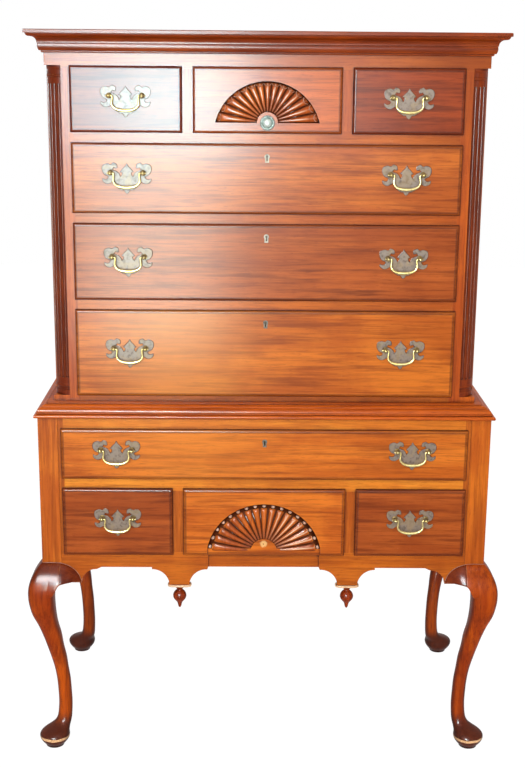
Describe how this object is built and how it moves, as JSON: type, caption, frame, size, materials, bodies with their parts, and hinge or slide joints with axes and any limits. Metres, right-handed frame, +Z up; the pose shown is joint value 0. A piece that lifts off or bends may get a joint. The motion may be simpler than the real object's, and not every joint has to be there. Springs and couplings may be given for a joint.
{
  "type": "flat-top highboy chest of drawers",
  "caption": "Flat-top mahogany highboy: drawers with brass bail pulls and two carved fans, fluted quarter columns, moulded cornice, and a lower case on cabriole legs with pad feet.",
  "frame": {"origin": "on the floor, under the middle of the case (centre of the footprint)", "axes": "+X to the right of someone facing the drawers, +Y from the drawer fronts to the back, +Z up"},
  "size_m": [1.0848, 0.6088, 1.651],
  "materials": {
    "mahogany_case": "gloss",
    "mahogany_drawer": "gloss",
    "mahogany_dark": "gloss",
    "secondary_wood": "matte",
    "brass_plate": "satin",
    "brass_bail": "polished"
  },
  "bodies": {
    "case": {"upper_sides": "mahogany_case", "upper_back": "secondary_wood", "upper_top": "mahogany_case", "upper_bottom": "secondary_wood", "cornice": "mahogany_case", "upper_front_frame": "mahogany_case", "quarter_columns": "mahogany_dark", "upper_runners": "secondary_wood", "waist_moulding": "mahogany_case", "lower_sides": "mahogany_case", "lower_back": "secondary_wood", "lower_top": "secondary_wood", "lower_front_frame": "mahogany_case", "apron": "mahogany_case", "front_legs": "mahogany_dark", "rear_legs": "mahogany_dark", "knee_blocks": "mahogany_dark", "pendants": "mahogany_dark", "lower_runners": "secondary_wood"},
    "top_left": {"top_left_front": "mahogany_drawer", "top_left_box": "secondary_wood", "top_left_brass": "brass_plate"},
    "top_left_bail": {"top_left_bail": "brass_bail"},
    "top_centre": {"top_centre_front": "mahogany_drawer", "top_centre_box": "secondary_wood", "top_centre_knob": "brass_plate"},
    "top_right": {"top_right_front": "mahogany_drawer", "top_right_box": "secondary_wood", "top_right_brass": "brass_plate"},
    "top_right_bail": {"top_right_bail": "brass_bail"},
    "upper_third": {"upper_third_front": "mahogany_drawer", "upper_third_box": "secondary_wood", "upper_third_brass": "brass_plate"},
    "upper_third_bail_left": {"upper_third_bail_left": "brass_bail"},
    "upper_third_bail_right": {"upper_third_bail_right": "brass_bail"},
    "upper_second": {"upper_second_front": "mahogany_drawer", "upper_second_box": "secondary_wood", "upper_second_brass": "brass_plate"},
    "upper_second_bail_left": {"upper_second_bail_left": "brass_bail"},
    "upper_second_bail_right": {"upper_second_bail_right": "brass_bail"},
    "upper_first": {"upper_first_front": "mahogany_drawer", "upper_first_box": "secondary_wood", "upper_first_brass": "brass_plate"},
    "upper_first_bail_left": {"upper_first_bail_left": "brass_bail"},
    "upper_first_bail_right": {"upper_first_bail_right": "brass_bail"},
    "lower_long": {"lower_long_front": "mahogany_drawer", "lower_long_box": "secondary_wood", "lower_long_brass": "brass_plate"},
    "lower_long_bail_left": {"lower_long_bail_left": "brass_bail"},
    "lower_long_bail_right": {"lower_long_bail_right": "brass_bail"},
    "lower_left": {"lower_left_front": "mahogany_drawer", "lower_left_box": "secondary_wood", "lower_left_brass": "brass_plate"},
    "lower_left_bail": {"lower_left_bail": "brass_bail"},
    "lower_centre": {"lower_centre_front": "mahogany_drawer", "lower_centre_box": "secondary_wood"},
    "lower_right": {"lower_right_front": "mahogany_drawer", "lower_right_box": "secondary_wood", "lower_right_brass": "brass_plate"},
    "lower_right_bail": {"lower_right_bail": "brass_bail"}
  },
  "joints": [
    {"name": "top_left_slide", "type": "slide", "parent": "case", "child": "top_left", "axis": [0, -1, 0], "range_m": [0, 0.346]},
    {"name": "top_left_bail_hinge", "type": "hinge", "parent": "top_left", "child": "top_left_bail", "pos_m": [-0.30165, -0.2525, 1.516], "axis": [-1, 0, 0], "range_deg": [-10, 150]},
    {"name": "top_centre_slide", "type": "slide", "parent": "case", "child": "top_centre", "axis": [0, -1, 0], "range_m": [0, 0.346]},
    {"name": "top_right_slide", "type": "slide", "parent": "case", "child": "top_right", "axis": [0, -1, 0], "range_m": [0, 0.346]},
    {"name": "top_right_bail_hinge", "type": "hinge", "parent": "top_right", "child": "top_right_bail", "pos_m": [0.30165, -0.2525, 1.516], "axis": [-1, 0, 0], "range_deg": [-10, 150]},
    {"name": "upper_third_slide", "type": "slide", "parent": "case", "child": "upper_third", "axis": [0, -1, 0], "range_m": [0, 0.346]},
    {"name": "upper_third_bail_left_hinge", "type": "hinge", "parent": "upper_third", "child": "upper_third_bail_left", "pos_m": [-0.30165, -0.2525, 0.9675], "axis": [-1, 0, 0], "range_deg": [-10, 150]},
    {"name": "upper_third_bail_right_hinge", "type": "hinge", "parent": "upper_third", "child": "upper_third_bail_right", "pos_m": [0.30165, -0.2525, 0.9675], "axis": [-1, 0, 0], "range_deg": [-10, 150]},
    {"name": "upper_second_slide", "type": "slide", "parent": "case", "child": "upper_second", "axis": [0, -1, 0], "range_m": [0, 0.346]},
    {"name": "upper_second_bail_left_hinge", "type": "hinge", "parent": "upper_second", "child": "upper_second_bail_left", "pos_m": [-0.30165, -0.2525, 1.17225], "axis": [-1, 0, 0], "range_deg": [-10, 150]},
    {"name": "upper_second_bail_right_hinge", "type": "hinge", "parent": "upper_second", "child": "upper_second_bail_right", "pos_m": [0.30165, -0.2525, 1.17225], "axis": [-1, 0, 0], "range_deg": [-10, 150]},
    {"name": "upper_first_slide", "type": "slide", "parent": "case", "child": "upper_first", "axis": [0, -1, 0], "range_m": [0, 0.346]},
    {"name": "upper_first_bail_left_hinge", "type": "hinge", "parent": "upper_first", "child": "upper_first_bail_left", "pos_m": [-0.30165, -0.2525, 1.354], "axis": [-1, 0, 0], "range_deg": [-10, 150]},
    {"name": "upper_first_bail_right_hinge", "type": "hinge", "parent": "upper_first", "child": "upper_first_bail_right", "pos_m": [0.30165, -0.2525, 1.354], "axis": [-1, 0, 0], "range_deg": [-10, 150]},
    {"name": "lower_long_slide", "type": "slide", "parent": "case", "child": "lower_long", "axis": [0, -1, 0], "range_m": [0, 0.379]},
    {"name": "lower_long_bail_left_hinge", "type": "hinge", "parent": "lower_long", "child": "lower_long_bail_left", "pos_m": [-0.33215, -0.2905, 0.74325], "axis": [-1, 0, 0], "range_deg": [-10, 150]},
    {"name": "lower_long_bail_right_hinge", "type": "hinge", "parent": "lower_long", "child": "lower_long_bail_right", "pos_m": [0.33215, -0.2905, 0.74325], "axis": [-1, 0, 0], "range_deg": [-10, 150]},
    {"name": "lower_left_slide", "type": "slide", "parent": "case", "child": "lower_left", "axis": [0, -1, 0], "range_m": [0, 0.379]},
    {"name": "lower_left_bail_hinge", "type": "hinge", "parent": "lower_left", "child": "lower_left_bail", "pos_m": [-0.33215, -0.2905, 0.582], "axis": [-1, 0, 0], "range_deg": [-10, 150]},
    {"name": "lower_centre_slide", "type": "slide", "parent": "case", "child": "lower_centre", "axis": [0, -1, 0], "range_m": [0, 0.379]},
    {"name": "lower_right_slide", "type": "slide", "parent": "case", "child": "lower_right", "axis": [0, -1, 0], "range_m": [0, 0.379]},
    {"name": "lower_right_bail_hinge", "type": "hinge", "parent": "lower_right", "child": "lower_right_bail", "pos_m": [0.33215, -0.2905, 0.582], "axis": [-1, 0, 0], "range_deg": [-10, 150]}
  ]
}
